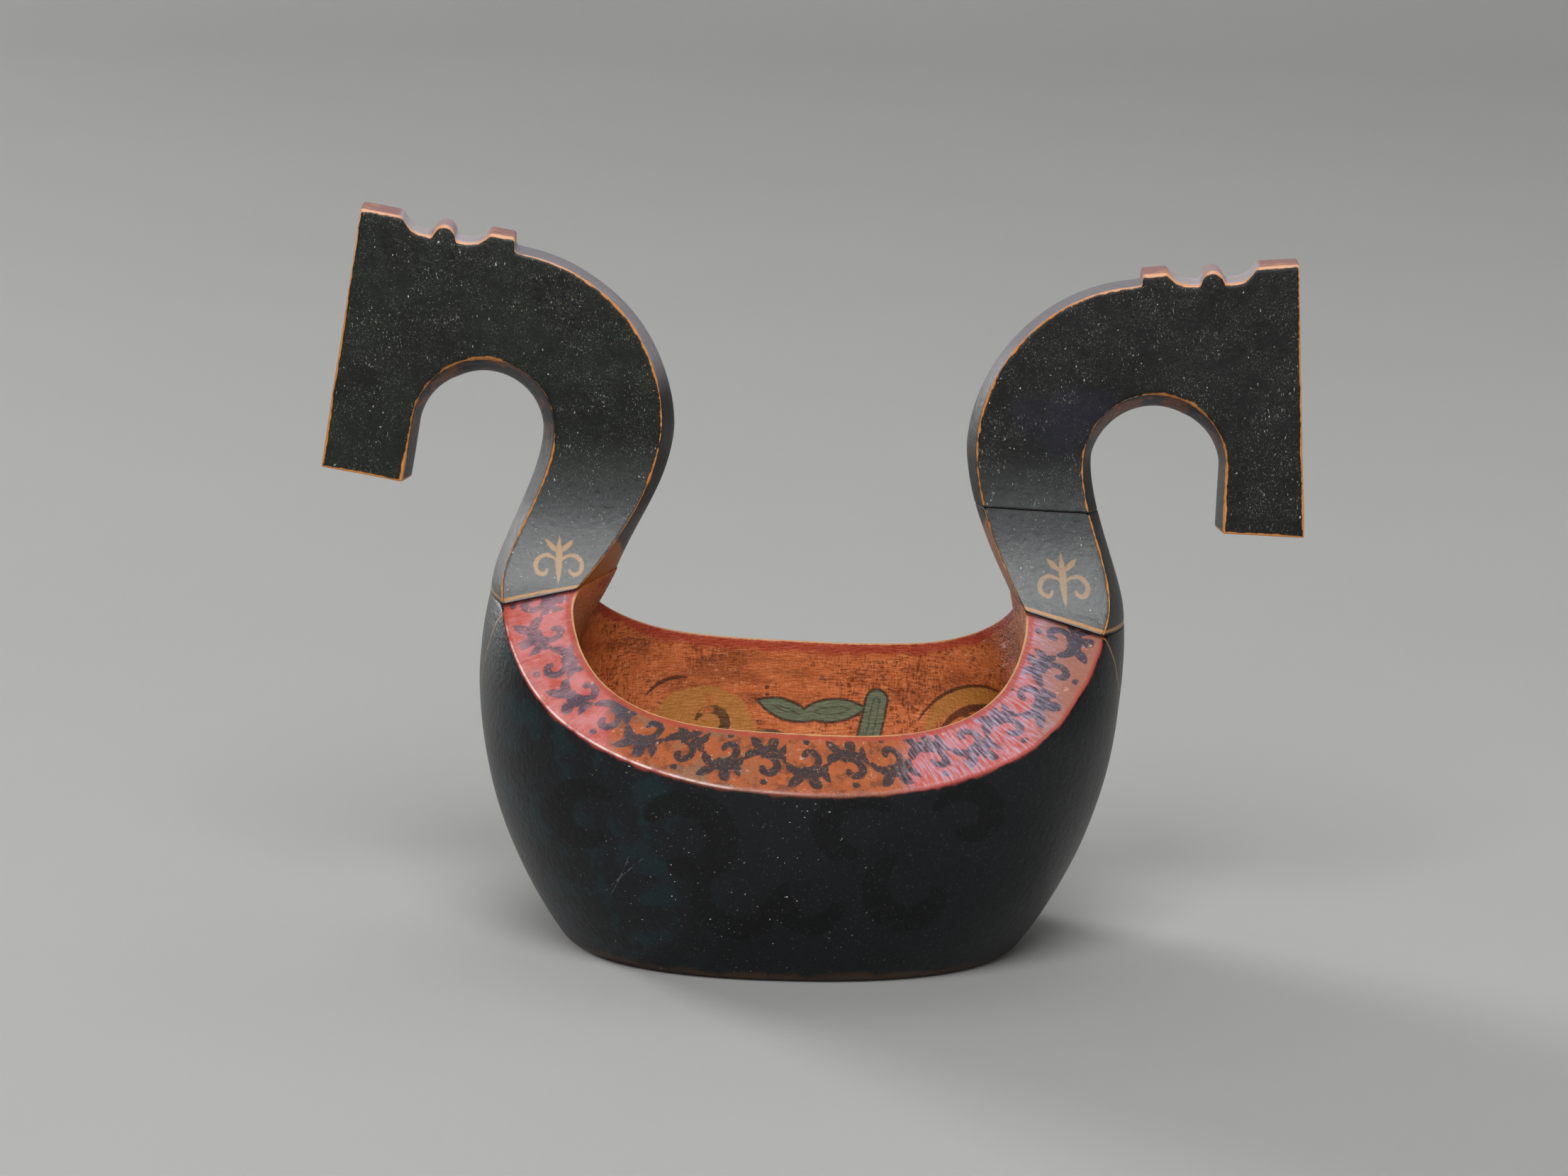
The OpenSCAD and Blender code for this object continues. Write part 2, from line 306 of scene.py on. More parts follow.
bowl_columns = 128
flat_rows = len(floor_shares)
meridians = [bowl_meridian(2 * math.pi * i / bowl_columns) for i in range(bowl_columns)]
bowl_rows = len(meridians[0][0])
bowl_rings = []
for row in range(bowl_rows):
    ring = [points[row] for points, outer_row, inner_row in meridians]
    if flat_rows < row < bowl_rows - flat_rows:
        ring = [carved(point, size=26.0, amount=0.35, seed=3.1) for point in ring]
    bowl_rings.append([leaning @ point for point in ring])
bowl = shaped_rings("bowl_body", bowl_rings)


def by_rows(columns):
    """The values of all meridians in the order of the rings."""
    return [column[row] for row in range(bowl_rows) for column in columns]


from_outer = []
from_inner = []
for points, outer_row, inner_row in meridians:
    climb = gone_along(points)
    from_outer.append([gone - climb[outer_row] for gone in climb])
    from_inner.append([gone - climb[inner_row] for gone in climb])
band_middles = [points[outer_row].lerp(points[inner_row], 0.5) for points, outer_row, inner_row in meridians]
store(bowl, "from_outer", by_rows(from_outer))
store(bowl, "from_inner", by_rows(from_inner))
store(bowl, "along", gone_along(band_middles) * bowl_rows)
finished(bowl)


class Tint:
    """A socket of the paint being mixed. Sums on it add Math nodes."""
    tree = None

    def __init__(self, socket):
        self.socket = socket

    @classmethod
    def node(cls, kind, settings, inputs, output=0):
        made = cls.tree.nodes.new("ShaderNode" + kind)
        for key, value in settings.items():
            setattr(made, key, value)
        for key, value in inputs.items():
            if isinstance(value, Tint):
                cls.tree.links.new(value.socket, made.inputs[key])
            else:
                made.inputs[key].default_value = value
        return cls(made.outputs[output]) if made.outputs else None

    def math(self, operation, other=0.0, third=0.0):
        return Tint.node("Math", {"operation": operation}, {0: self, 1: other, 2: third})

    def __add__(self, other):
        return self.math("ADD", other)

    def __sub__(self, other):
        return self.math("SUBTRACT", other)

    def __rsub__(self, other):
        return Tint.node("Math", {"operation": "SUBTRACT"}, {0: other, 1: self})

    def __mul__(self, other):
        return self.math("MULTIPLY", other)

    def __truediv__(self, other):
        return self.math("DIVIDE", other)

    def __abs__(self):
        return self.math("ABSOLUTE")

    def __or__(self, other):
        return self.math("MAXIMUM", other)

    def __and__(self, other):
        return self.math("MINIMUM", other)

    __radd__ = __add__
    __rmul__ = __mul__


def paint(code):
    """Linear colour of a paint written as it looks."""
    parts = [int(code[i:i + 2], 16) / 255 for i in (1, 3, 5)]
    return (*[p / 12.92 if p <= 0.04045 else ((p + 0.055) / 1.055) ** 2.4 for p in parts], 1.0)


def mixed(share, first, second):
    first, second = (paint(c) if isinstance(c, str) else c for c in (first, second))
    return Tint.node("Mix", {"data_type": "RGBA"}, {0: share, 6: first, 7: second}, 2)


def ease(value, low, high):
    """A smooth change from 0 at the first limit to 1 at the second."""
    return Tint.node("MapRange", {"interpolation_type": "SMOOTHSTEP"}, {0: value, 1: low, 2: high})


def cloud(place, size, detail=3.0, rough=0.55):
    inputs = {"Vector": place, "Scale": 1 / size, "Detail": detail, "Roughness": rough}
    return Tint.node("TexNoise", {}, inputs)


def stretched(place, x, y, z):
    return Tint.node("VectorMath", {"operation": "MULTIPLY"}, {0: place, 1: (x, y, z)})


def spot(x, y, z):
    return Tint.node("CombineXYZ", {}, {0: x, 1: y, 2: z})


def kept(name):
    return Tint.node("Attribute", {"attribute_name": name}, {}, "Fac")


def distance(across, up):
    return (across * across + up * up).math("SQRT")


def stroke(across, up, middle, reach, start, sweep, width):
    """How far a place lies outside a brush stroke that winds round a middle and thins out at both ends."""
    across, up = across - middle[0], up - middle[1]
    way = 1.0 if sweep > 0 else -1.0
    turn = Tint.node("Math", {"operation": "ARCTAN2"}, {0: up, 1: across})
    turned = (turn * way - math.radians(start) * way).math("WRAP", 2 * math.pi, 0.0)
    share = turned / abs(math.radians(sweep))
    gap = abs(distance(across, up) - (share * (reach[1] - reach[0]) + reach[0]))
    fullness = (share * (1 - share) * 4).math("SQRT")
    beyond_ends = ease(fullness, 0.3, 0.0) * 9.0
    return gap - fullness * width + beyond_ends


def leaf(across, up, tip, other_tip, half_width):
    """How far a place lies outside a pointed leaf between two tips."""
    run, rise = other_tip[0] - tip[0], other_tip[1] - tip[1]
    half = math.hypot(run, rise) / 2
    radius = (half * half + half_width * half_width) / (2 * half_width)
    aside = (radius - half_width) / (2 * half)
    gaps = []
    for way in (-1, 1):
        x_gap = across - ((tip[0] + other_tip[0]) / 2 - way * aside * rise)
        y_gap = up - ((tip[1] + other_tip[1]) / 2 + way * aside * run)
        gaps.append(distance(x_gap, y_gap) - radius)
    return gaps[0] | gaps[1]


def paddle(across, up, low, high, radius):
    """How far a place lies outside a round-ended leaf."""
    run, rise = high[0] - low[0], high[1] - low[1]
    across, up = across - low[0], up - low[1]
    share = ((across * run + up * rise) / (run * run + rise * rise) | 0.0) & 1.0
    return distance(across - share * run, up - share * rise) - radius


def nearest(*gaps):
    closest = gaps[0]
    for gap in gaps[1:]:
        closest = closest & gap
    return closest


def vine(across, up):
    """How far a place lies outside one wave of a vine: its stem, a curl, three leaves and a berry."""
    return nearest(
        stroke(across, up, (0.0, -4.6), (8.8, 8.8), 152, -124, 1.6),
        stroke(across, up, (0.8, -2.4), (4.8, 1.0), 130, -340, 1.15),
        leaf(across, up, (-1.0, 3.6), (-6.4, 9.6), 1.5),
        leaf(across, up, (1.4, 4.0), (3.2, 10.6), 1.7),
        leaf(across, up, (4.6, 2.4), (8.6, 7.6), 1.2),
        leaf(across, up, (-0.6, -8.6), (1.4, -8.6), 0.95))


def new_paint(name):
    """A new material, with the place on the piece in millimetres and its three coordinates."""
    made = bpy.data.materials.new(name)
    made.use_nodes = True
    made.node_tree.nodes.clear()
    Tint.tree = made.node_tree
    place = Tint.node("TexCoord", {}, {}, "Object")
    mm = Tint.node("VectorMath", {"operation": "SCALE"}, {0: place, "Scale": 1 / millimetre})
    return made, mm, *(Tint.node("SeparateXYZ", {}, {0: mm}, axis) for axis in "XYZ")


def coat(colour, roughness, relief, depth, specular):
    bump = Tint.node("Bump", {}, {"Height": relief, "Distance": depth, "Strength": 1.0})
    shader = Tint.node("BsdfPrincipled", {}, {"Base Color": colour, "Roughness": roughness, "Normal": bump,
                                             "Specular IOR Level": specular})
    Tint.node("OutputMaterial", {}, {"Surface": shader})


bowl_paint, mm, x, y, z = new_paint("bowl_paint")
outer_gap, inner_gap, round_rim = kept("from_outer"), kept("from_inner"), kept("along")
blotch = cloud(mm, 40.0)
patch = cloud(mm, 9.0, 4.0)
fine = cloud(mm, 2.2, 4.0)
grain = cloud(mm, 0.7, 2.0)
at_ends = ease(abs(y), 31.0, 28.5)
off_seam = ease(abs(y), 21.0, 27.0)
towards_ends = ease(abs(x), 30.0, 55.0)
inside = ease(inner_gap + (fine - 0.5) * 0.8 + ease(abs(y), 26.0, 20.0) * 1.5, 0.1, 0.7)
on_band = ease(outer_gap + (patch - 0.5) * 1.2 - at_ends * 0.8, -0.7, 0.1)

# Outside: black on a slate ground, with broad dark scrolls, blue-green dabs, pale knocks and scratches.
# The foot and the lip are worn brown, a short crack stands at the right, and two ochre lines mark each end.
slate = mixed(blotch, "#08090b", "#131519")
slate = mixed(ease(cloud(mm, 11.0, 3.0), 0.48, 0.60) * ease(x, -10.0, -56.0) * 0.7, slate, "#0e2529")
scrolls = nearest(
    stroke(x, z, (-36, 56), (16, 10), 160, -290, 6.0), stroke(x, z, (-16, 35), (15, 11), 140, 230, 4.6),
    stroke(x, z, (10, 34), (12, 8), 140, 220, 4.2), stroke(x, z, (45, 38), (15, 9), 110, 260, 5.4),
    stroke(x, z, (64, 66), (12, 6), 170, -300, 4.4), stroke(x, z, (24, 62), (14, 8), 30, 250, 5.0),
    stroke(x, z, (-72, 60), (13, 7), 40, 290, 4.6))
black = mixed(ease(scrolls + (fine - 0.5) * 2, 1.0, -0.6) * 0.85, slate, "#040506")
black = mixed(ease(grain, 0.64, 0.74) * 0.5, black, "#5a5e62")
chip = cloud(mm, 1.3, 2.0)
black = mixed(ease(chip, 0.72, 0.75) * ease(abs(x + 20), 70.0, 20.0), black, "#b8b6ae")
scratches = nearest(
    stroke(x, z, (55, -58), (150, 150), 135, 9, 0.22), stroke(x, z, (-200, 92), (150, 150), -24, 7, 0.2))
black = mixed(ease(scratches, 0.1, -0.1) * ease(fine, 0.42, 0.55) * 0.3, black, "#8b8f95")
crack = abs(y + 46 + cloud(stretched(mm, 0.0, 0.0, 1.0), 9.0) * 4)
black = mixed(ease(crack, 0.7, 0.2) * ease(x, 60.0, 70.0) * ease(abs(z - 36), 17.0, 8.0), black, "#020202")
end_line = ease(abs(abs(y) - 4 - (z - 70) * 0.46 + (patch - 0.5) * 3), 0.7, 0.25)
end_line = end_line * ease(z, 72.0, 84.0) * ease(abs(x), 96.0, 100.0)
black = mixed(end_line * 0.8, black, "#96703f")
black = mixed(ease(z + (patch - 0.5) * 7, 4.5, 1.0), black, "#3d2a1c")
lip_wear = ease(outer_gap + (patch - 0.5) * 3.0, -1.3, -0.3) * (1 - at_ends)
black = mixed(lip_wear, black, mixed(towards_ends, "#643018", "#8c3a34"))

# Rim band: red at both ends, orange-brown between, with a dark running vine, painted sheen and worn lips.
left_red = (-62.0, -67.0)
right_red = (40.0, 45.0)
right_dusky = (84.0, 92.0)
rubbed = cloud(mm, 5.0, 5.0, 0.65)
warm = mixed(ease(rubbed, 0.48, 0.62) * 0.7, mixed(patch, "#803b15", "#ab5827"), "#5a2c12")
warm = mixed(ease(cloud(mm, 12.0), 0.48, 0.60) * ease(abs(x + 36), 30.0, 12.0) * 0.6, warm, "#6e5a42")
red = mixed(ease(rubbed, 0.52, 0.68) * 0.5, mixed(patch, "#97362b", "#bf5c4d"), "#7a3a34")
dusky = mixed(patch, "#7d4c3e", "#a06c5c")
sway = x + (patch - 0.5) * 5
band = mixed(ease(sway, *left_red), warm, red)
band = mixed(ease(sway, *right_red), band, red)
band = mixed(ease(sway, *right_dusky), band, dusky)
half_wave = 15.0
vine_line = 13.4
cell = (round_rim / half_wave).math("FLOOR")
chance = Tint.node("TexWhiteNoise", {"noise_dimensions": "1D"}, {"W": cell}, "Value")
shaky = (fine - 0.5) * 1.1
vine_along = (round_rim - (cell + 0.5) * half_wave) * (1.1 - chance * 0.2) + shaky
vine_up = (outer_gap - vine_line) * (1 - 2 * cell.math("MODULO", 2.0)) * (0.86 + chance * 0.12) - shaky
ink = ease(vine(vine_along, vine_up), 0.6, 0.0) * ease(cloud(mm, 1.0, 3.0), 0.28, 0.42)
ink = ink * ease(outer_gap, 2.0, 3.2) * ease(inner_gap, -2.0, -3.2)
near_ink = mixed(fine, "#0c0d10", "#24252b")
far_ink = mixed(fine, "#20232e", "#3c4050")
band = mixed(ink * 0.92, band, mixed(ease(abs(x), 40.0, 64.0), near_ink, far_ink))
band = mixed(ease(rubbed, 0.44, 0.36) * ease(fine, 0.56, 0.64) * 0.6, band, "#cf9f8c")
band = mixed(ease(grain, 0.68, 0.76) * 0.6, band, "#d9bfae")
# A hazy sheen across the band towards the right end, and a fainter one at the left end, is a painted
# highlight.
band_sheen_painted = cloud(spot(round_rim * 1.1, outer_gap * 0.16, 0.0), 1.0, 4.0)
band = mixed(ease(band_sheen_painted, 0.36, 0.70) * ease(abs(x - 68), 34.0, 16.0) * 0.75, band, "#a99bb0")
band = mixed(ease(patch + band_sheen_painted * 0.4, 0.5, 0.9) * ease(x, -56.0, -72.0) * 0.4, band, "#c3989f")
band = mixed(ease(inner_gap + (patch - 0.5) * 1.6, -3.4, -2.0) * off_seam * 0.7, band, "#9a3a2c")
inner_lip = mixed(fine, "#a5743f", "#d0a878")
band = mixed(ease(inner_gap + (patch - 0.5) * 0.8, -0.8, -0.4) * off_seam, band, inner_lip)
outer_lip = mixed(towards_ends, "#7c3a20", "#a04234")
band = mixed(ease(outer_gap + (patch - 0.5) * 2.4, 1.2, 0.2) * 0.8, band, outer_lip)
# A thin pale line along the left part of the outer lip is a painted highlight.
lip_highlight_painted = ease(patch, 0.36, 0.56) * ease(abs(outer_gap - 0.2), 0.55, 0.2) * ease(x, 20.0, -60.0)
band = mixed(lip_highlight_painted * 0.8, band, "#e0cdc8")

# Inside: burnt orange rubbed brown, with yellow scrolls, a tendril of green leaves and dark outlines.
weave = cloud(stretched(mm, 0.30, 0.6, 1.3), 1.0, 5.0) * cloud(stretched(mm, 1.5, 0.6, 0.35), 1.0, 5.0)
wiped = cloud(stretched(mm, 0.03, 0.04, 0.08), 1.0, 4.0, 0.6)
dirty = ease(cloud(mm, 24.0), 0.40, 0.58) * 0.8 + 0.2
red_wood = mixed(patch, "#a44b1c", "#d37a45")
red_wood = mixed(ease(wiped, 0.48, 0.62) * 0.65, red_wood, "#84401b")
red_wood = mixed(ease(wiped, 0.44, 0.32) * 0.5, red_wood, "#dd8652")
red_wood = mixed(ease(weave, 0.25, 0.34) * dirty * 0.75, red_wood, "#5a280b")
red_wood = mixed(ease(weave, 0.20, 0.13) * 0.45, red_wood, "#e39664")
red_wood = mixed(ease(cloud(mm, 3.0, 6.0, 0.75), 0.55, 0.64) * dirty * 0.8, red_wood, "#48210c")
red_wood = mixed(ease(grain, 0.66, 0.74) * 0.6, red_wood, "#dca88c")
# Pale diagonal streaks high on the right of the hollow are painted glints, a painted highlight.
glints_painted = ease(cloud(spot((x - z) * 0.5, y * 0.2, (x + z) * 0.12), 1.0, 3.0), 0.60, 0.70)
glints_painted = glints_painted * ease(x, 44.0, 60.0) * ease(z, 84.0, 96.0)
red_wood = mixed(glints_painted * 0.6, red_wood, "#e3c3b2")
red_wood = mixed(ease(inner_gap + (patch - 0.5) * 9, 6.0, 2.5) * 0.8 * off_seam, red_wood, "#9c3424")
# The left end wall of the hollow is painted darker brown: painted shade.
end_wall_shade_painted = ease(x + abs(y) * 0.3, -58.0, -74.0) * 0.6
red_wood = mixed(end_wall_shade_painted, red_wood, "#7a3d1a")
uneven = (patch - 0.5) * 4 + (fine - 0.5) * 1.2
yellow = nearest(
    leaf(x, z, (-55, 57), (-12, 57), 21.0), stroke(x, z, (80, 55), (30, 24), 165, -85, 3.6),
    stroke(x, z, (-62, 44), (14, 10), 120, -200, 4.0))
ochre = mixed(fine, "#96601f", "#bb8040")
red_wood = mixed(ease(yellow + uneven, 0.8, -0.8) * ease(patch, 0.25, 0.4) * 0.85, red_wood, ochre)
curls = nearest(
    stroke(x, z, (-29, 63), (7.0, 2.2), 170, -310, 1.9), stroke(x, z, (-40, 66), (17, 15), 150, -65, 0.7),
    stroke(x, z, (80, 55), (25, 20), 160, -80, 1.3), stroke(x, z, (80, 55), (34, 28), 160, -70, 0.6),
    stroke(x, z, (66, 66), (6, 2), 140, -280, 1.2), leaf(x, z, (-9.8, 77.5), (-8.2, 77.5), 0.8),
    leaf(x, z, (-9.6, 74.8), (-8.2, 74.8), 0.7))
leaves = nearest(
    leaf(x, z, (-12.5, 72.5), (9.5, 65.5), 3.8), leaf(x, z, (3.0, 68.0), (28.5, 70.5), 4.4),
    paddle(x, z, (29.5, 58.0), (32.4, 73.6), 4.2), leaf(x, z, (-14.0, 60.0), (6.0, 52.0), 4.4),
    leaf(x, z, (34.0, 60.0), (48.0, 44.0), 4.4)) + uneven * 0.35
leaf_green = mixed(cloud(stretched(mm, 0.2, 0.3, 1.0), 1.0, 4.0), "#364231", "#7c8366")
red_wood = mixed(ease(leaves, 0.3, -0.4), red_wood, leaf_green)
veins = ease(abs(leaves + 3.0), 0.45, 0.15) * 0.6
lines = ease(abs(leaves), 0.75, 0.3) | veins | ease(curls + (fine - 0.5) * 0.6, 0.3, -0.2)
red_wood = mixed(lines * ease(patch, 0.28, 0.42) * 0.8, red_wood, "#2a1a12")
# The hollow turns darker brown in patches towards its floor.
darker_to_floor = ease(z, 40.0, 18.0) * ease(patch, 0.3, 0.7) * 0.6
red_wood = mixed(darker_to_floor, red_wood, "#3b2011")

colour = mixed(inside, mixed(on_band, black, band), red_wood)
gloss = 0.30 + fine * 0.14 + inside * 0.04
relief = fine * 0.5 + weave * inside * 2 + cloud(stretched(mm, 0.2, 0.2, 0.06), 1.0) * (1 - inside) * 0.3
coat(colour, gloss, relief, depth=0.0005, specular=0.3)
bowl.data.materials.append(bowl_paint)
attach(bowl, "root")
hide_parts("bowl")


# The handles: necks that swing up into horse heads, sawn from a board and keeled with a knife.
# The right neck was broken straight across and glued back, so it is two pieces.
# They are painted black, with pink tops, and their edges are rubbed through to orange and bare wood.
head_half = 7.5
head_height = 264.0
crest_mid = (wall_mid + 19.0, 189.5)
crest_radius = 61.5
arch_mid = (wall_mid + 22.0, 186.0)
arch_radius = 26.0
arch_back = 104
arch_front = 46
arch_fade = 60
left_keel = 0.4
right_keel = 0.3
arch_keel = 0.65
muzzle_keel = 0.6
keel_softness = 1.5
forehead_reach = wall_mid + 69.5
forehead_lean = 5.6
muzzle_width = 29.5
muzzle_slope = 4.0
muzzle_turn = 4.0
head_shift = 2.3
head_turn = 0.7


def bezier(start, start_pull, end_pull, end, steps, first=0.0):
    """Points along a curve with two pulls. The first step can be shorter, to keep a cut end crisp."""
    short = bool(first)
    places = [0.0] + [between(first, 1.0, (i - short) / (steps - short)) for i in range(1, steps + 1)]
    return [start * (1 - t) ** 3 + 3 * start_pull * (1 - t) ** 2 * t
            + 3 * end_pull * (1 - t) * t * t + end * t ** 3 for t in places]


def straight(start, end, steps):
    return [start.lerp(end, i / steps) for i in range(steps + 1)]


def on_circle(middle, radius, degrees):
    turn = math.radians(degrees)
    return middle + radius * Vector((math.cos(turn), math.sin(turn)))


def oval_end(half_x, half_y, squareness, y):
    return half_x * max(0.0, 1 - (abs(y) / half_y) ** squareness) ** (1 / squareness)


def neck_thickness(z):
    return between(neck_half, head_half, clamped((z - flare_height) / (head_height - flare_height)))


def face_depth(z):
    """How far in front of the middle plane the face of neck, head or flare lies at a height."""
    if z >= flare_height:
        return neck_thickness(z)
    if z <= flare_end_z:
        return flare_end_y + (flare_end_z - z) / math.tan(rim_slope)
    return flare_mid - math.sqrt(flare_radius ** 2 - (flare_height - z) ** 2)


def keel(slope, y, z):
    """What the softened keel along a side stands out at a depth and a height."""
    thick = neck_thickness(z)
    return slope * thick * (1 - softened(y, keel_softness) / softened(thick, keel_softness))


def seats(y, side):
    """Where the throat line and the crest line start on the seam at a depth, and the wall's ridge there."""
    left = side > 0
    low = seam_z(bowl_half[0])
    end_x, squareness = end_plan(low, left)
    foot_x = oval_end(end_x, body_half(1, low), squareness, y)
    ridge = wall_ridge(y, seam_high, left)
    mouth_x = oval_end(*hollow_half, hollow_squareness, y + hollow_shift) + side * hollow_offset - ridge
    return Vector((foot_x, seam_z(foot_x))), Vector((mouth_x, seam_z(mouth_x))), ridge


top_slope = 7.3
forelock_width = 15.0
scallop_width = 12.0
scallop_depth = 5.0
knob_width = 8.4
ear_width = 9.0
forelock_steps = 10
scallop_steps = 8
ear_steps = 7


def stepped_top(corner, side):
    """The stretches of a head's top: the ear, a scallop, the knob, a scallop and the forelock."""
    turn = math.radians(top_slope + side * head_turn)
    back = Vector((-math.cos(turn), -math.sin(turn)))
    down = Vector((math.sin(turn), -math.cos(turn)))
    forelock = corner + forelock_width * back
    half_knob = knob_width / 2 * back
    knob = forelock + scallop_width * back + half_knob + scallop_depth * down
    ear = knob + half_knob + scallop_width * back - scallop_depth * down
    ear_end = ear + ear_width * back
    flat, steep = scallop_width / 2 * back, scallop_depth * down
    knob_back, knob_front = knob + half_knob, knob - half_knob
    half_turn = [math.pi * i / scallop_steps for i in range(scallop_steps + 1)]
    return [
        straight(ear_end, ear, ear_steps),
        bezier(ear, ear - flat / 2 + steep, knob_back + flat, knob_back, scallop_steps),
        [knob + half_knob * math.cos(t) - steep * math.sin(t) for t in half_turn],
        bezier(knob_front, knob_front - flat, forelock + flat / 2 + steep, forelock, scallop_steps),
        straight(forelock, corner, forelock_steps)]


nape_steps = 3
scallop_tones = [0.0] * scallop_steps
knob_tones = [0.5] * scallop_steps
ear_tones = [1.0] * (nape_steps + ear_steps)
top_tones = ear_tones + scallop_tones + knob_tones + scallop_tones + [1.0] * forelock_steps
neck_steps = 36
half_neck = neck_steps // 2
forehead_steps = 18
arch_end_steps = 14
crisp_step = 0.012
seat_pull = 0.8
forehead_end = 0.985
brow_shares = (0.015, 0.04, 0.08, 0.14)
cheek_shares = (0.12, 0.25, 0.38, 0.5, 0.62, 0.74, 0.86, 0.95, 1.0)


def neck_lines(y, side, slope, corner_height, forehead_length):
    """The throat line and the crest line of a handle at a depth, row by row from the seam to the muzzle."""
    shift = Vector((-side * head_shift, 0))
    pull = Vector((0, crest_radius / 3))
    arch, crest = Vector(arch_mid) + shift, Vector(crest_mid) + shift
    throat = arch - Vector((arch_radius - keel(slope, y, arch.y), 0))
    nape = crest - Vector((crest_radius + keel(slope, y, crest.y), 0))
    outer, inner, ridge = seats(y, side)
    tilt = math.radians(forehead_lean + side * head_turn)
    cut = math.radians(muzzle_slope + side * muzzle_turn)
    corner = Vector((forehead_reach, corner_height)) + shift
    muzzle = corner + forehead_length * Vector((math.sin(tilt), -math.cos(tilt)))
    lip_gap = muzzle_width + muzzle_keel * keel(slope, y, muzzle.y)
    lip = muzzle - lip_gap * Vector((math.cos(cut), math.sin(cut)))
    tops = stepped_top(corner, side)
    ear_end = tops[0][0]
    crest_end = math.degrees(math.acos((ear_end.x - crest.x) / crest_radius))

    def arch_point(turn):
        share = between(muzzle_keel, 1.0, min(1.0, turn / arch_fade))
        rise = math.sin(math.radians(turn))
        sunk = keel(between(slope, arch_keel, rise) * share, y, arch.y + arch_radius * rise)
        return on_circle(arch, arch_radius - sunk, turn)

    def crest_point(share):
        turn = between(180, crest_end, share)
        raised = keel(slope * (1 - share), y, crest.y + crest_radius * math.sin(math.radians(turn)))
        return on_circle(crest, crest_radius + raised, turn)

    inward = Vector((pull.y / 2 - ridge / 3, 0))
    inner_pull = inner + seat_pull * pull - inward
    crest_line = bezier(inner, inner_pull, nape - pull, nape, half_neck, crisp_step)
    crest_line += [crest_point(i / half_neck) for i in range(1, half_neck + 1)]
    for stretch in (straight(crest_line[-1], ear_end, nape_steps), *tops):
        crest_line += stretch[1:]
    crest_line += [corner.lerp(muzzle, share) for share in brow_shares]
    crest_line += [corner.lerp(muzzle, between(brow_shares[-1], forehead_end, i / forehead_steps))
                   for i in range(1, forehead_steps + 1)]
    crest_line.append(muzzle)
    throat_line = bezier(outer, outer + seat_pull * pull, throat - pull, throat, half_neck, crisp_step)
    for low, high, steps in ((180, arch_back, half_neck), (arch_back, arch_front, len(top_tones)),
                             (arch_front, 0, arch_end_steps)):
        throat_line += [arch_point(between(low, high, i / steps)) for i in range(1, steps + 1)]
    arch_end = throat_line[-1]
    throat_line += [arch_end.lerp(lip, share) for share in cheek_shares]
    return throat_line, crest_line


plain_bevel = 0.7
top_bevel = 1.1
face_shares = (0, 0.05, 0.15, 0.3, 0.5, 0.7, 0.85, 0.95, 1)


def handle_section(row, lines_at, edge_at):
    """The closed outline across a handle at a row: points with their distance from an edge and their side."""
    section = []
    on_top = neck_steps < row <= neck_steps + len(top_tones)
    tone = top_tones[row - neck_steps - 1] if on_top else 0.0
    row_marks = (1.0 * on_top, tone, 1.0 * (row > neck_steps + len(top_tones)))
    bevels = (plain_bevel, top_bevel if on_top else plain_bevel)

    def edge(which, sign):
        y = edge_at[row][which]
        point = lines_at(y)[which][row]
        return Vector((point.x, sign * y, point.y))

    def side_point(which, y):
        point = lines_at(y)[which][row]
        return Vector((point.x, y, point.y))

    def face_point(share, sign):
        point = edge(0, sign).lerp(edge(1, sign), share)
        point.y = sign * face_depth(point.z)
        return point

    width = (edge(0, 1) - edge(1, 1)).length
    for sign, far in ((-1, 1), (1, 0)):
        face_start, face_end = bevels[1 - far] / width, 1 - bevels[far] / width
        for share in (between(face_start, face_end, part) for part in face_shares):
            place = share if far == 1 else 1 - share
            section.append((face_point(place, sign), min(share, 1 - share) * width, 0.0, 0.0, place))
        y_edge = edge_at[row][far]
        crest_share, throat_share = 1.0 * (far == 1), 1.0 * (far == 0)
        on_edge = (0.0, 0.5 * crest_share, 0.5 * throat_share, crest_share)
        on_side = (crest_share, throat_share, crest_share)
        before, after = section[-1][0], side_point(far, sign * (y_edge - bevels[far]))
        section.append((rounded(before, edge(far, sign), after, 2)[1], *on_edge))
        flat = 1 - bevels[far] / y_edge
        for share in (flat, 0.6, 0.25, 0.0, -0.25, -0.6, -flat):
            section.append((side_point(far, sign * y_edge * share), y_edge * (1 - abs(share)), *on_side))
        before, after = section[-1][0], face_point(place, -sign)
        section.append((rounded(before, edge(far, -sign), after, 2)[1], *on_edge))
    return [point + row_marks for point in section]


def handle_rows(side, slope, corner_height, forehead_length):
    """The sections of a handle from the seam to the muzzle. Its edges lie where its sides meet its faces."""
    known = {}

    def lines_at(y):
        key = round(y, 3)
        if key not in known:
            known[key] = neck_lines(y, side, slope, corner_height, forehead_length)
        return known[key]

    count = len(lines_at(0.0)[0])
    edge_at = []
    for row in range(count):
        depths = []
        for which in (0, 1):
            y = neck_half
            for _ in range(6):
                y = face_depth(lines_at(y)[which][row].y)
            depths.append(round(y, 3))
        edge_at.append(depths)
    return [handle_section(row, lines_at, edge_at) for row in range(count)]


def capped(rows, insets):
    """The last section drawn in towards its middle, so that the cut end has its own faces."""
    middle = sum((point[0] for point in rows[-1]), Vector()) / len(rows[-1])
    return [[(point[0].lerp(middle, share), gap, *point[2:]) for point in rows[-1]] for share, gap in insets]


muzzle_insets = ((0.03, 0.5), (0.15, 2.0), (0.5, 6.0))
joint_insets = muzzle_insets[:2]


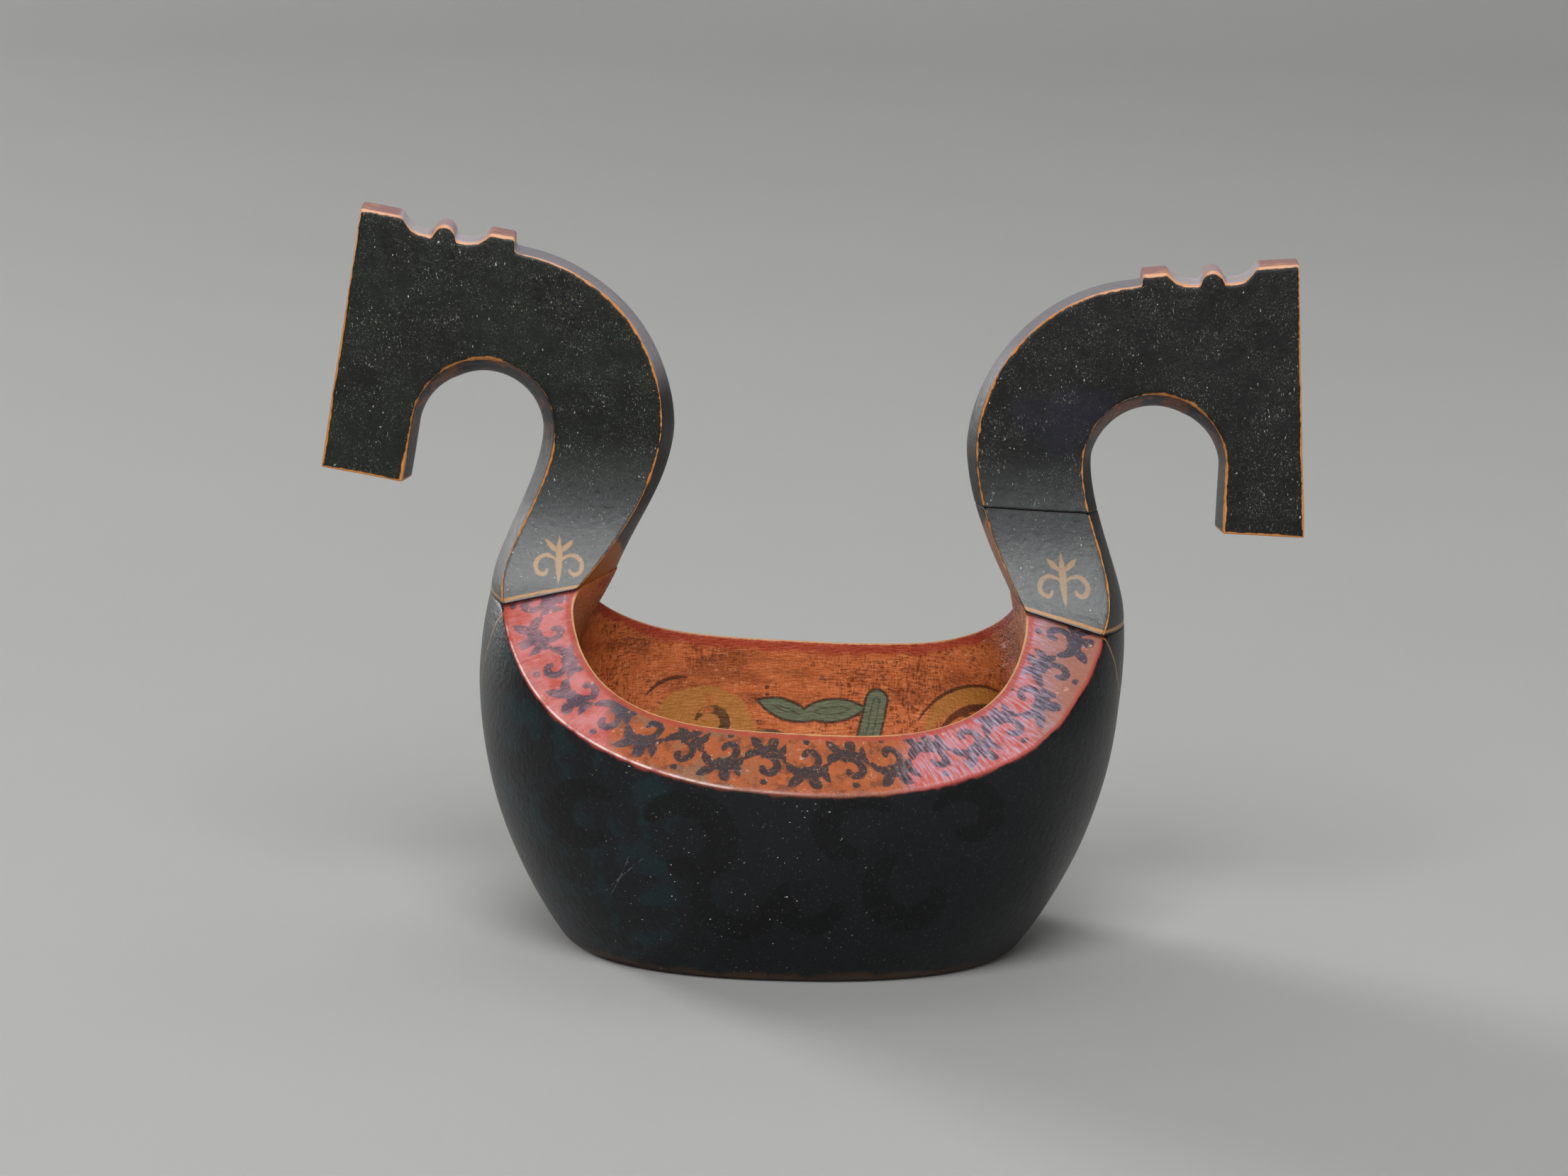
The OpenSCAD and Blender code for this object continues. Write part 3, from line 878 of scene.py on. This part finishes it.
def make_handle(name, rows, end_insets, mirrored, low_end, high_end):
    """A handle from its rows, which keep how far each point lies from the cut at each end."""
    sign = -1 if mirrored else 1
    climbs = [gone_along([point[0] for point in column]) for column in zip(*rows)]
    marked = []
    for index, row in enumerate(rows):
        marked.append([point + (climb[index], climb[-1] - climb[index]) for point, climb in zip(row, climbs)])
    marked = capped(marked[::-1], joint_insets)[::-1] + marked + capped(marked, end_insets)
    rings = []
    for row in marked:
        ring = [carved(point[0], size=20.0, amount=0.25, seed=7.7 + sign) for point in row]
        rings.append([leaning @ Vector((sign * point.x, point.y, point.z)) for point in ring])
    piece = shaped_rings(name, rings)
    marks = ("from_edge", "crest", "throat", "across", "top", "block", "brow", low_end, high_end)
    for index, mark in enumerate(marks, 1):
        store(piece, mark, [point[index] for row in marked for point in row])
    finished(piece)
    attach(piece, "root")
    return piece


left_rows = handle_rows(1, left_keel, corner_height=264.0, forehead_length=95.0)
right_rows = handle_rows(-1, right_keel, corner_height=261.5, forehead_length=99.5)
left_horse = make_handle("left_horse", left_rows, muzzle_insets, True, "from_seam", "from_muzzle")
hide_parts("left_handle")
break_height = 166.0
break_slope = math.tan(math.radians(5))
rows_to_join = 4
below_steps = 16
below_shares = [i / below_steps for i in range(below_steps)] + [0.975, 1.0]
above_shares = (0.0, 0.06, 0.3, 0.6)


def over_break(point):
    return point.z - (break_height - break_slope * point.y)


def split_at_break(rows):
    """Every line along the neck is cut where it meets the break, for the piece below and the piece above."""
    columns = range(len(rows[0]))
    crossings = []
    for column in columns:
        for row in range(len(rows) - 1):
            low, high = (over_break(rows[place][column][0]) for place in (row, row + 1))
            if low <= 0 < high:
                crossings.append(row + low / (low - high))
                break
    join = int(max(crossings)) + rows_to_join

    def at(column, place):
        row = min(int(place), len(rows) - 2)
        share = place - row
        low, high = rows[row][column], rows[row + 1][column]
        return (low[0].lerp(high[0], share), *(between(*pair, share) for pair in zip(low[1:], high[1:])))

    neck = [[at(column, crossings[column] * share) for column in columns] for share in below_shares]
    head = [[at(column, between(crossings[column], join, share)) for column in columns]
            for share in above_shares]
    return neck, head + rows[join:]


neck_rows, head_rows = split_at_break(right_rows)
right_neck = make_handle("right_neck", neck_rows, joint_insets, False, "from_seam", "from_break")
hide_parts("right_handle")
right_horse = make_handle("right_horse", head_rows, muzzle_insets, False, "from_break", "from_muzzle")
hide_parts("right_head")


def neck_ornament(x, z, left):
    """How far a place lies outside the scroll ornament at the foot of a neck, mirrored about its middle."""
    if left:
        aside = abs(x + 85.0)
        return nearest(
            stroke(aside, z, (5.2, 141.2), (5.0, 1.0), 160, -335, 0.7),
            leaf(aside, z, (0.0, 136.4), (0.0, 152.0), 1.1),
            leaf(aside, z, (0.6, 146.6), (5.0, 150.6), 0.8))
    aside = abs(x - 98.0 + (z - 138.0) * 0.12)
    return nearest(
        stroke(aside, z, (5.4, 137.0), (5.2, 1.0), 160, -335, 0.75),
        leaf(aside, z, (0.0, 131.4), (0.0, 149.6), 1.2),
        leaf(aside, z, (0.6, 143.0), (5.4, 147.4), 0.9))


def horse_paint(name, left, ends):
    """Black paint with flecks, rubbed edges and pink tops, and brush marks and a scroll low on the neck."""
    made, mm, x, y, z = new_paint(name)
    edge, crest, throat = kept("from_edge"), kept("crest"), kept("throat")
    top, block, brow = kept("top"), kept("block"), kept("brow")
    on_crest, on_throat = ease(crest, 0.4, 0.8), ease(throat, 0.4, 0.8)
    on_neck = ease(abs(x), 127.0, 115.0)
    blotch, patch, fine = cloud(mm, 26.0), cloud(mm, 8.0, 4.0), cloud(mm, 2.0, 4.0)
    fleck = cloud(stretched(mm, 3.0, 3.0, 2.0), 1.0, 2.0)
    dashes = cloud(stretched(mm, 2.0, 2.0, 0.8), 1.0, 2.0)
    wrinkle = cloud(stretched(mm, 0.3, 0.3, 0.6), 1.0, 4.0)

    face = mixed(patch, "#020301", "#0a0e07") if left else mixed(patch, "#020202", "#090a09")
    face = mixed(ease(blotch, 0.42, 0.62) * 0.5, face, "#0f160c" if left else "#0e1010")
    # Low on the neck the face turns lighter grey: partly thinner, worn paint, partly a painted highlight from
    # the lamps in front.
    face = mixed(ease(z, 186.0, 156.0) * on_neck * 0.85, face, mixed(wrinkle, "#2e3131", "#525658"))
    face = mixed(ease(fleck, 0.58, 0.74) * ease(patch, 0.36, 0.58) * 0.75, face, "#74766a")
    face = mixed(ease(dashes, 0.64, 0.72) * ease(cloud(mm, 15.0), 0.44, 0.60) * 0.8, face, "#8f9186")
    face = mixed(ease(cloud(stretched(mm, 0.9, 0.9, 0.6), 1.0, 2.0), 0.71, 0.75) * 0.8, face, "#b3b2a4")
    face = mixed(ease(cloud(mm, 2.2, 2.0), 0.76, 0.79) * 0.8, face, "#a06a3a")
    # Painted shade darkens the creases of the wrinkled paint low on the neck.
    crease_shade = ease(wrinkle, 0.38, 0.33) * ease(abs(z - 168), 14.0, 6.0) * on_neck * 0.5
    face = mixed(crease_shade, face, "#080808")
    # The right head has a bluish-violet sheen on its face, a painted reflection.
    if not left:
        face_sheen_painted = distance(x - 97, z - 192) + (blotch - 0.5) * 70
        face = mixed(ease(face_sheen_painted, 22.0, 4.0) * 0.4, face, "#1e1e30")
    painted = ease(neck_ornament(x, z, left) + (fine - 0.5) * 0.8, 0.35, -0.15) * ease(fleck, 0.26, 0.40)
    face = mixed(painted * ease(abs(y), 6.0, 12.0) * (0.72 if left else 0.55), face, "#a87f4c")

    lengthwise = cloud(spot(x * 0.12, y * 2.4, z * 0.12), 1.0, 4.0)
    # Above the middle of the neck the crest is painted pale slate, a painted highlight where the lamps above
    # light it.
    slate = mixed(lengthwise, "#5a5860", "#98949a")
    crest_colour = mixed(ease(z, 200.0, 220.0), mixed(lengthwise, "#050507", "#151518"), slate)
    rust_line = 142.0 if left else 154.0
    rust = ease(z - abs(y) * 0.6 - rust_line + (patch - 0.5) * 3, 1.0, -1.0)
    crest_colour = mixed(rust, crest_colour, mixed(lengthwise, "#6c3616", "#b06830"))
    tops = mixed(block, mixed(lengthwise, "#948d96", "#c2babc"), mixed(lengthwise, "#7f5658", "#ad7f7c"))
    tops = mixed(ease(patch, 0.56, 0.64) * 0.6, tops, "#c78f63")
    crest_colour = mixed(ease(top, 0.4, 0.7), crest_colour, tops)
    brow_colour = mixed(lengthwise, "#15151a", "#34323a") if left else mixed(lengthwise, "#8e5637", "#bf7f5c")
    crest_colour = mixed(ease(brow, 0.4, 0.7), crest_colour, brow_colour)
    throat_colour = mixed(lengthwise, "#060708", "#181a1f")
    underside = ease(z, 176.0, 200.0) * ease(patch, 0.46, 0.58)
    throat_colour = mixed(underside * 0.8, throat_colour, mixed(fine, "#3a1f0e", "#8a5026"))
    colour = mixed(on_throat, mixed(on_crest, face, crest_colour), throat_colour)

    ridge = ease(abs(y) + (patch - 0.5) * 2, 0.9, 0.2) * ease(fine, 0.52, 0.6) * (on_crest | on_throat)
    colour = mixed(ridge * (1 - top) * (1 - brow) * 0.8, colour, "#b0703a")
    bare = mixed(fine, "#a8622c", "#d0904e")
    bare = mixed(ease(z, 236.0, 258.0) * 0.7, bare, "#cc9a7c")
    if "muzzle" in ends:
        edge = edge & kept("from_muzzle")
    arch = ease(kept("across"), 0.5, 0.2) * ease(z, 176.0, 196.0)
    wear = 0.34 + (cloud(mm, 13.0, 4.0) - 0.5) * 1.3 + (cloud(mm, 3.0, 3.0) - 0.5) * 1.2
    wear = wear + top * 0.5 + brow * 0.35 - arch * 0.4
    rubbed = ease(edge - wear, 0.2, -0.15)
    colour = mixed(rubbed * (0.92 - arch * 0.3), colour, bare)

    if "seam" in ends:
        seam = kept("from_seam")
        seam_line = ease(abs(seam - 1.5 + (patch - 0.5) * 0.8), 1.0, 0.6)
        seam_line = seam_line * ease(patch, 0.20, 0.32) * (1 - on_crest)
        colour = mixed(seam_line * 0.85, colour, mixed(fine, "#8f5c28", "#b98440"))
        # The dark line at the very foot of the neck is partly dark paint on the joint and partly a painted
        # shadow under the step.
        colour = mixed(ease(seam, 0.6, 0.25) * (1 - on_crest), colour, "#240f0a")
    if "break" in ends:
        gap = kept("from_break") + (fine - 0.5) * 0.5
        colour = mixed(ease(gap, 0.75, 0.35), colour, "#030303")
    gloss = 0.27 + fine * 0.12 + ease(abs(z - 172), 18.0, 6.0) * on_neck * 0.16
    relief = fine * 0.22 + wrinkle * ease(z, 196.0, 164.0) * 0.2
    relief = relief + lengthwise * (on_crest | on_throat) * 0.5 - rubbed * 0.5
    coat(colour, gloss, relief, depth=0.0005, specular=0.34)
    return made


left_horse.data.materials.append(horse_paint("left_handle_paint", True, ("seam", "muzzle")))
right_neck.data.materials.append(horse_paint("right_handle_paint", False, ("seam", "break")))
right_horse.data.materials.append(horse_paint("right_head_paint", False, ("break", "muzzle")))


# The dowels that hold the seams and the mended break: pegs of pale bare wood, out of sight in their holes.
# Their wood is straight-grained, and they are glued in dry.
dowel_wood, mm, x, y, z = new_paint("dowel_wood")
grain = cloud(stretched(mm, 1.0, 1.0, 0.08), 0.8)
coat(mixed(grain, "#a5783f", "#cfa468"), 0.7 + grain * 0.1, grain, depth=0.0001, specular=0.3)
for node in ("left_handle_dowels", "right_handle_dowels", "right_head_dowel"):
    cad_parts[node].data.materials.clear()
    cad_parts[node].data.materials.append(dowel_wood)


# The stage, in metres: a plain pale floor that runs up into a backdrop, lit by five soft round lamps.
# The camera stands where the photograph was taken from.
floor_width = 14.0
floor_front = -4.0
floor_back = 2.2
bend_steps = 12
bend_step = 0.16
bend_turn = math.radians(90 / bend_steps)
backdrop_height = 4.0
bpy.ops.object.select_all(action="DESELECT")
bpy.ops.mesh.primitive_plane_add(size=1.0)
floor = bpy.context.object
floor.name = "floor"
bpy.ops.object.mode_set(mode="EDIT")
mesh = bmesh.from_edit_mesh(floor.data)
for vertex in mesh.verts:
    vertex.co = Vector((vertex.co.x * floor_width, floor_front if vertex.co.y < 0 else floor_back, 0.0))
for edge in mesh.edges:
    edge.select_set(all(vertex.co.y > 0 for vertex in edge.verts))
mesh.select_flush(True)
for i in range(1, bend_steps + 1):
    bpy.ops.mesh.extrude_region_move(TRANSFORM_OT_translate={
        "value": (0, bend_step * math.cos(bend_turn * i), bend_step * math.sin(bend_turn * i))})
bpy.ops.mesh.extrude_region_move(TRANSFORM_OT_translate={"value": (0, 0, backdrop_height)})
bpy.ops.object.mode_set(mode="OBJECT")
bpy.ops.object.shade_smooth()
floor_paint, mm, x, y, z = new_paint("floor_paint")
coat(mixed(cloud(mm, 300.0), "#cbcbc9", "#d1d1cf"), 0.8, cloud(mm, 4.0), depth=0.0001, specular=0.2)
floor.data.materials.append(floor_paint)

target = Vector((0, 0, 0.1))
lamps = (
    ("key", (-0.05, -1.4, 1.9), 1.4, 44.0),
    ("front", (0.0, -2.6, 1.28), 1.3, 27.0),
    ("fill", (1.8, -1.0, 0.9), 1.0, 4.0),
    ("top", (0.1, 0.5, 1.9), 1.2, 4.0),
    ("rim", (-2.2, 2.0, 0.6), 1.0, 30.0))
for name, place, size, power in lamps:
    bpy.ops.object.light_add(type="AREA", location=place)
    lamp = bpy.context.object
    lamp.name = name
    lamp.data.shape = "DISK"
    lamp.data.size = size
    lamp.data.energy = power
    lamp.rotation_euler = (target - Vector(place)).to_track_quat("-Z", "Y").to_euler()
world = bpy.data.worlds.new("studio")
world.use_nodes = True
world.node_tree.nodes["Background"].inputs["Color"].default_value = (0.9, 0.95, 1.0, 1.0)
world.node_tree.nodes["Background"].inputs["Strength"].default_value = 0.15
bpy.context.scene.world = world
bpy.context.scene.view_settings.view_transform = "Standard"

photo_width = 2212
photo_middle = (1106, 829.5)
bowl_in_photo = (1116.3, 944.3)
photo_pixel = 0.00026
photo_roll = math.radians(1.28)
sensor = 36.0
stand = Vector((0, -2.2, 0.654))
bpy.ops.object.camera_add(location=stand)
camera = bpy.context.object
look = (target - stand).to_track_quat("-Z", "Y").to_matrix().to_4x4()
camera.rotation_euler = (look @ Matrix.Rotation(photo_roll, 4, "Z")).to_euler()
camera.data.sensor_width = sensor
camera.data.lens = sensor * (stand - target).length / (photo_pixel * photo_width)
camera.data.shift_x = -(bowl_in_photo[0] - photo_middle[0]) / photo_width
camera.data.shift_y = (bowl_in_photo[1] - photo_middle[1]) / photo_width
camera.data.clip_end = 50.0
bpy.context.scene.camera = camera
